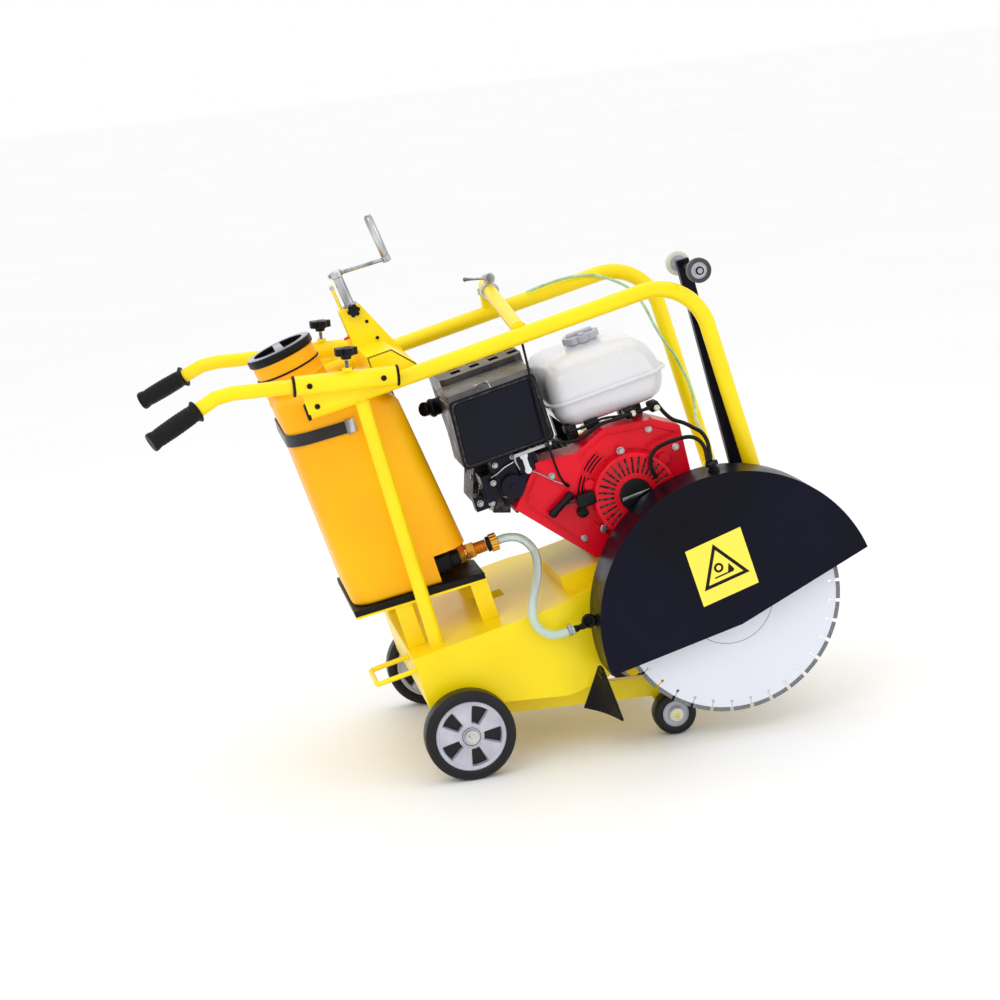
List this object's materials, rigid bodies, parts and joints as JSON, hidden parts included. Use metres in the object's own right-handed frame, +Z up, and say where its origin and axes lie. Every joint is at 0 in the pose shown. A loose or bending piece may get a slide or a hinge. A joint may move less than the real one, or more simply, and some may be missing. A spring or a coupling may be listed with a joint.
{
  "type": "walk-behind concrete saw",
  "caption": "Petrol walk-behind concrete saw: guarded diamond blade, engine, water tank, roll cage, telescopic handles and a screw-set depth on a swinging front axle.",
  "frame": {"origin": "floor level, under the centre of the whole machine's box, blade raised for transport", "axes": "+X towards the blade end (forward), +Y to the machine's left, +Z up"},
  "size_m": [1.3454, 0.6474, 1.0802],
  "materials": {
    "frame_yellow": "gloss",
    "tank_amber": "satin",
    "black_plastic": "satin",
    "rubber_black": "matte",
    "webbing": "matte",
    "brass": "satin",
    "steel": "satin",
    "guard_black": "gloss",
    "engine_red": "gloss",
    "engine_dark": "satin",
    "tank_white": "gloss",
    "muffler_grey": "satin",
    "silver_plastic": "satin",
    "blade_steel": "satin",
    "tyre": "matte",
    "hose_clear": "gloss",
    "pointer_red": "gloss",
    "fastener_black": "satin"
  },
  "bodies": {
    "root": {"base_deck": "frame_yellow", "base_skirt": "frame_yellow", "engine_platform": "frame_yellow", "rail_right": "frame_yellow", "rail_left": "frame_yellow", "cage_posts": "frame_yellow", "console": "frame_yellow", "handle_sleeves": "frame_yellow", "tank_tray": "frame_yellow", "tray_mat": "rubber_black", "water_tank": "tank_amber", "tank_strap": "webbing", "water_valve": "brass", "water_hose": "hose_clear", "engine_block": "engine_dark", "fan_shroud": "engine_red", "recoil_housing": "engine_red", "fuel_tank": "tank_white", "muffler": "muffler_grey", "muffler_guard": "muffler_grey", "air_cleaner": "black_plastic", "carburettor": "engine_dark", "drive_belts": "rubber_black", "shaft_bearings": "engine_dark", "belt_guard": "frame_yellow", "blade_guard": "guard_black", "guard_flap": "rubber_black", "rear_axle": "steel", "lines": "rubber_black", "fasteners": "fastener_black"},
    "blade": {"blade_shaft": "steel", "blade_disc": "blade_steel", "blade_flange": "steel"},
    "crankshaft": {"crankshaft": "steel"},
    "swing_frame": {"swing_frame": "frame_yellow"},
    "handle_right": {"handle_right": "frame_yellow", "grip_right": "rubber_black"},
    "handle_left": {"handle_left": "frame_yellow", "grip_left": "rubber_black"},
    "front_wheel_right": {"front_wheel_right": "tyre"},
    "front_wheel_left": {"front_wheel_left": "tyre"},
    "rear_wheel_right": {"rear_wheel_right": "tyre"},
    "rear_wheel_left": {"rear_wheel_left": "tyre"},
    "crank": {"crank": "steel"},
    "crank_grip": {"crank_grip": "steel"},
    "depth_nut": {"depth_nut": "steel"},
    "depth_pointer": {"depth_pointer": "pointer_red"},
    "lock_knob": {"lock_knob": "black_plastic"},
    "clamp_knob_right": {"clamp_knob_right": "black_plastic"},
    "clamp_knob_left": {"clamp_knob_left": "black_plastic"},
    "throttle_lever": {"throttle_lever": "steel"},
    "guide_arm": {"guide_arm": "guard_black"},
    "guide_wheel_outer": {"guide_wheel_outer": "silver_plastic"},
    "guide_wheel_inner": {"guide_wheel_inner": "silver_plastic"},
    "tank_cap": {"tank_cap": "black_plastic"},
    "fuel_cap": {"fuel_cap": "silver_plastic"},
    "valve_lever": {"valve_lever": "steel"},
    "recoil_grip": {"recoil_grip": "black_plastic"},
    "choke_lever": {"choke_lever": "steel"},
    "engine_switch": {"engine_switch": "black_plastic"}
  },
  "joints": [
    {"name": "blade_spin", "type": "hinge", "parent": "root", "child": "blade", "pos_m": [0.3973, -0.2747, 0.27407], "axis": [0, 1, 0], "continuous": true},
    {"name": "crankshaft_spin", "type": "hinge", "parent": "root", "child": "crankshaft", "pos_m": [0.2505, 0.1513, 0.49111], "axis": [0, 1, 0], "continuous": true},
    {"name": "swing", "type": "hinge", "parent": "root", "child": "swing_frame", "pos_m": [-0.09875, 0.0063, 0.1073], "axis": [0, -1, 0], "range_deg": [0, 20]},
    {"name": "front_wheel_right_spin", "type": "hinge", "parent": "swing_frame", "child": "front_wheel_right", "pos_m": [0.28324, -0.1967, 0.043], "axis": [0, 1, 0], "continuous": true},
    {"name": "front_wheel_left_spin", "type": "hinge", "parent": "swing_frame", "child": "front_wheel_left", "pos_m": [0.28324, 0.2093, 0.043], "axis": [0, 1, 0], "continuous": true},
    {"name": "rear_wheel_right_spin", "type": "hinge", "parent": "root", "child": "rear_wheel_right", "pos_m": [-0.1387, -0.2787, 0.0885], "axis": [0, 1, 0], "continuous": true},
    {"name": "rear_wheel_left_spin", "type": "hinge", "parent": "root", "child": "rear_wheel_left", "pos_m": [-0.1387, 0.2913, 0.0885], "axis": [0, 1, 0], "continuous": true},
    {"name": "crank_turn", "type": "hinge", "parent": "root", "child": "crank", "pos_m": [-0.23305, 0.0063, 0.89055], "axis": [0.2942, 0, -0.9557], "range_deg": [0, 3240.5]},
    {"name": "crank_grip_spin", "type": "hinge", "parent": "crank", "child": "crank_grip", "pos_m": [-0.16991, 0.0063, 1.03554], "axis": [-0.2942, 0, 0.9557], "continuous": true},
    {"name": "nut_travel", "type": "slide", "parent": "root", "child": "depth_nut", "axis": [-0.2942, 0, 0.9557], "range_m": [0, 0.0361]},
    {"name": "pointer_travel", "type": "slide", "parent": "root", "child": "depth_pointer", "axis": [-0.2942, 0, 0.9557], "range_m": [0, 0.0361]},
    {"name": "lock_knob_turn", "type": "hinge", "parent": "root", "child": "lock_knob", "pos_m": [-0.23599, -0.0247, 0.90011], "axis": [0, -1, 0], "range_deg": [0, 360]},
    {"name": "handle_right_slide", "type": "slide", "parent": "root", "child": "handle_right", "axis": [0.9997, 0, -0.0243], "range_m": [-0.06, 0.05]},
    {"name": "clamp_knob_right_turn", "type": "hinge", "parent": "root", "child": "clamp_knob_right", "pos_m": [-0.28145, -0.2367, 0.84233], "axis": [0.0243, 0, 0.9997], "range_deg": [0, 360]},
    {"name": "handle_left_slide", "type": "slide", "parent": "root", "child": "handle_left", "axis": [0.9997, 0, -0.0243], "range_m": [-0.06, 0.05]},
    {"name": "clamp_knob_left_turn", "type": "hinge", "parent": "root", "child": "clamp_knob_left", "pos_m": [-0.28145, 0.2493, 0.84233], "axis": [0.0243, 0, 0.9997], "range_deg": [0, 360]},
    {"name": "throttle_turn", "type": "hinge", "parent": "root", "child": "throttle_lever", "pos_m": [0.06636, 0.1363, 0.91081], "axis": [0, 1, 0], "range_deg": [-25, 25]},
    {"name": "guide_arm_fold", "type": "hinge", "parent": "root", "child": "guide_arm", "pos_m": [0.48499, -0.1537, 0.41357], "axis": [0, 1, 0], "range_deg": [0, 135]},
    {"name": "guide_wheel_outer_spin", "type": "hinge", "parent": "guide_arm", "child": "guide_wheel_outer", "pos_m": [0.4004, -0.2747, 0.91853], "axis": [0, 1, 0], "continuous": true},
    {"name": "guide_wheel_inner_spin", "type": "hinge", "parent": "guide_arm", "child": "guide_wheel_inner", "pos_m": [0.4004, -0.1107, 0.91853], "axis": [0, 1, 0], "continuous": true},
    {"name": "tank_cap_turn", "type": "hinge", "parent": "root", "child": "tank_cap", "pos_m": [-0.38705, 0.0063, 0.83741], "axis": [-0.3274, 0, 0.9449], "range_deg": [0, 90]},
    {"name": "fuel_cap_turn", "type": "hinge", "parent": "root", "child": "fuel_cap", "pos_m": [0.21404, 0.0063, 0.78499], "axis": [-0.2098, 0, 0.9777], "range_deg": [0, 90]},
    {"name": "valve_turn", "type": "hinge", "parent": "root", "child": "valve_lever", "pos_m": [-0.12237, -0.0937, 0.40804], "axis": [-0.2098, 0, 0.9777], "range_deg": [0, 90]},
    {"name": "starter_pull", "type": "slide", "parent": "root", "child": "recoil_grip", "axis": [-0.9991, 0, -0.0426], "range_m": [0, 0.06]},
    {"name": "choke_turn", "type": "hinge", "parent": "root", "child": "choke_lever", "pos_m": [0.04214, -0.1817, 0.5947], "axis": [0, 1, 0], "range_deg": [-40, 0]},
    {"name": "switch_turn", "type": "hinge", "parent": "root", "child": "engine_switch", "pos_m": [0.14491, -0.1917, 0.46845], "axis": [0, 1, 0], "range_deg": [0, 35]}
  ],
  "couplings": [
    {"joint": "crankshaft_spin", "follows": "blade_spin", "ratio": 1.1923},
    {"joint": "nut_travel", "follows": "swing", "m_per_rad": 0.10313},
    {"joint": "pointer_travel", "follows": "swing", "m_per_rad": 0.10313},
    {"joint": "crank_turn", "follows": "swing", "ratio": 162}
  ]
}
